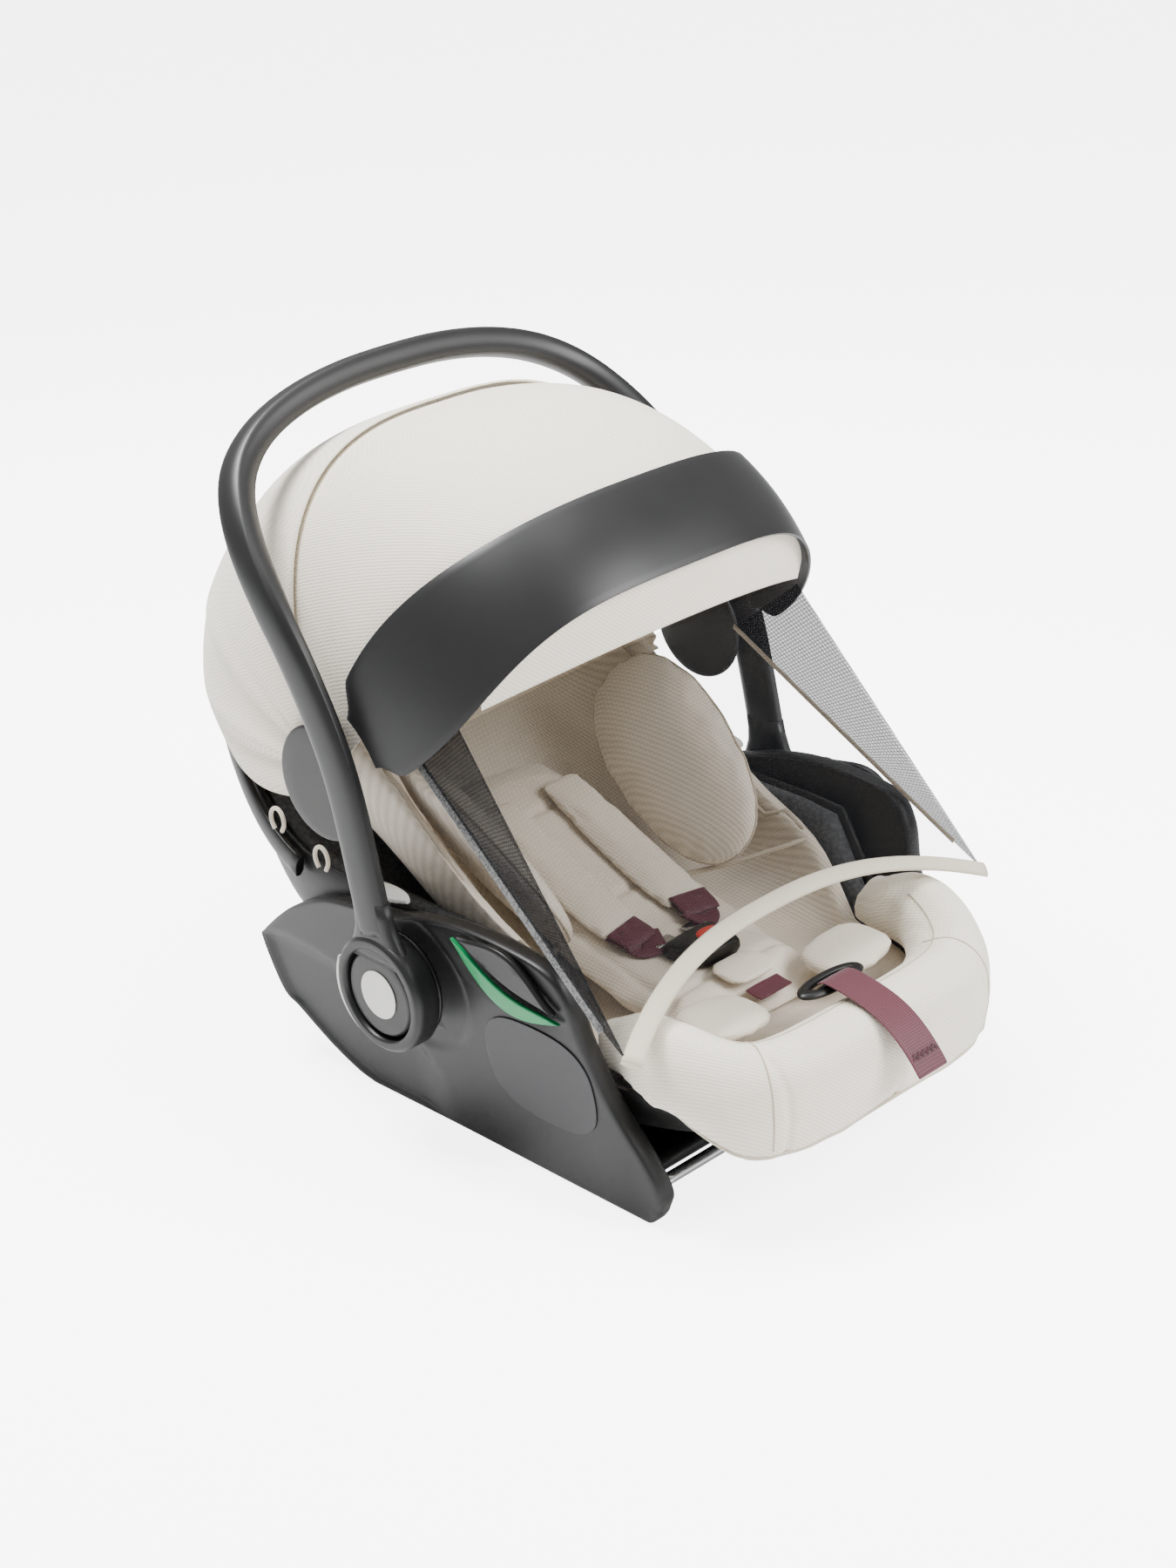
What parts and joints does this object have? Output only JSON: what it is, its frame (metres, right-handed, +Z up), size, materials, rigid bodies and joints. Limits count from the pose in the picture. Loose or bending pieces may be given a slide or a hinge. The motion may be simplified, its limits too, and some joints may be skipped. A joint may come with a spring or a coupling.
{
  "type": "infant car seat",
  "caption": "Infant car seat with carry handle, cream folding canopy with mesh veil, ribbed padding, plum harness and dark side runners.",
  "frame": {"origin": "centre of the footprint of the whole part, at the floor", "axes": "+Z up, -Y towards the foot end, +Y towards the head end, +X towards the child's left side"},
  "size_m": [0.46, 0.7093, 0.5582],
  "materials": {
    "graphite_plastic": "satin",
    "black_plastic": "fine grain",
    "pale_plastic": "satin",
    "green_plastic": "satin",
    "red_plastic": "satin",
    "steel": "bright",
    "bead_foam": "beaded",
    "cream_fabric": "diagonal rib",
    "beige_fabric": "fine rib",
    "plum_webbing": "woven",
    "charcoal_net": "open mesh"
  },
  "bodies": {
    "seat": {"adjuster_bezel": "black_plastic", "adjuster_strap": "plum_webbing", "base_tray": "black_plastic", "belt_grip_left": "black_plastic", "belt_grip_right": "black_plastic", "belt_guide_left": "green_plastic", "belt_guide_right": "green_plastic", "buckle_body": "black_plastic", "buckle_tongue_left": "steel", "buckle_tongue_right": "steel", "canopy_pivot_left": "graphite_plastic", "canopy_pivot_right": "graphite_plastic", "canopy_rear": "cream_fabric", "crotch_pad": "beige_fabric", "crotch_strap": "plum_webbing", "foam_liner": "bead_foam", "foot_bolster": "cream_fabric", "hood_loop_left_1": "cream_fabric", "hood_loop_left_2": "cream_fabric", "hood_loop_right_1": "cream_fabric", "hood_loop_right_2": "cream_fabric", "hub_gear_left": "black_plastic", "hub_gear_right": "black_plastic", "hub_socket_left": "black_plastic", "hub_socket_right": "black_plastic", "label_plate": "graphite_plastic", "latch_bar": "steel", "leg_pad_left": "beige_fabric", "leg_pad_right": "beige_fabric", "newborn_insert": "beige_fabric", "rim_trim": "black_plastic", "seat_cover": "beige_fabric", "shell_bucket": "black_plastic", "shoulder_pad_left": "beige_fabric", "shoulder_pad_right": "beige_fabric", "shoulder_strap_left": "plum_webbing", "shoulder_strap_right": "plum_webbing", "side_runner_left": "graphite_plastic", "side_runner_right": "graphite_plastic", "wing_pad_left": "beige_fabric", "wing_pad_right": "beige_fabric"},
    "handle": {"handle_bar": "graphite_plastic", "handle_boss_left": "graphite_plastic", "handle_boss_right": "graphite_plastic"},
    "button_left": {"hub_button_left": "graphite_plastic", "hub_badge_left": "pale_plastic"},
    "button_right": {"hub_button_right": "graphite_plastic", "hub_badge_right": "pale_plastic"},
    "trigger_left": {"hub_trigger_left": "pale_plastic"},
    "trigger_right": {"hub_trigger_right": "pale_plastic"},
    "bow": {"canopy_bow": "steel", "canopy_front": "cream_fabric"},
    "visor": {"visor_band": "graphite_plastic", "canopy_front_strip": "cream_fabric", "veil_net": "charcoal_net", "veil_binding": "cream_fabric"},
    "buckle_press": {"buckle_button": "red_plastic"},
    "adjuster_press": {"adjuster_lever": "black_plastic"},
    "tab_left": {"rim_tab_left": "pale_plastic"},
    "tab_right": {"rim_tab_right": "pale_plastic"}
  },
  "joints": [
    {"name": "handle_swing", "type": "hinge", "parent": "seat", "child": "handle", "pos_m": [0, 0, 0.135], "axis": [1, 0, 0], "range_deg": [-70, 110]},
    {"name": "button_left_press", "type": "slide", "parent": "handle", "child": "button_left", "axis": [1, 0, 0], "range_m": [0, 0.004], "stiffness_N_per_m": 900},
    {"name": "button_right_press", "type": "slide", "parent": "handle", "child": "button_right", "axis": [-1, 0, 0], "range_m": [0, 0.004], "stiffness_N_per_m": 900},
    {"name": "trigger_left_squeeze", "type": "slide", "parent": "handle", "child": "trigger_left", "axis": [0, -0.9397, 0.342], "range_m": [0, 0.0018], "stiffness_N_per_m": 900},
    {"name": "trigger_right_squeeze", "type": "slide", "parent": "handle", "child": "trigger_right", "axis": [0, -0.9397, 0.342], "range_m": [0, 0.0018], "stiffness_N_per_m": 900},
    {"name": "visor_fold", "type": "hinge", "parent": "seat", "child": "visor", "pos_m": [0, 0.07, 0.285], "axis": [1, 0, 0], "range_deg": [-60, 0], "deforming": ["canopy_front_strip", "veil_net"]},
    {"name": "bow_fold", "type": "hinge", "parent": "seat", "child": "bow", "pos_m": [0, 0.07, 0.285], "axis": [1, 0, 0], "range_deg": [-30, 0]},
    {"name": "buckle_button_press", "type": "slide", "parent": "seat", "child": "buckle_press", "axis": [0, 0, -1], "range_m": [0, 0.0018], "stiffness_N_per_m": 1200},
    {"name": "adjuster_lever_press", "type": "slide", "parent": "seat", "child": "adjuster_press", "axis": [0, 0, -1], "range_m": [0, 0.003], "stiffness_N_per_m": 700},
    {"name": "tab_left_slide", "type": "slide", "parent": "seat", "child": "tab_left", "axis": [0, 1, 0], "range_m": [0, 0.006], "stiffness_N_per_m": 500},
    {"name": "tab_right_slide", "type": "slide", "parent": "seat", "child": "tab_right", "axis": [0, 1, 0], "range_m": [0, 0.006], "stiffness_N_per_m": 500}
  ],
  "couplings": [
    {"joint": "bow_fold", "follows": "visor_fold", "ratio": 0.5}
  ]
}
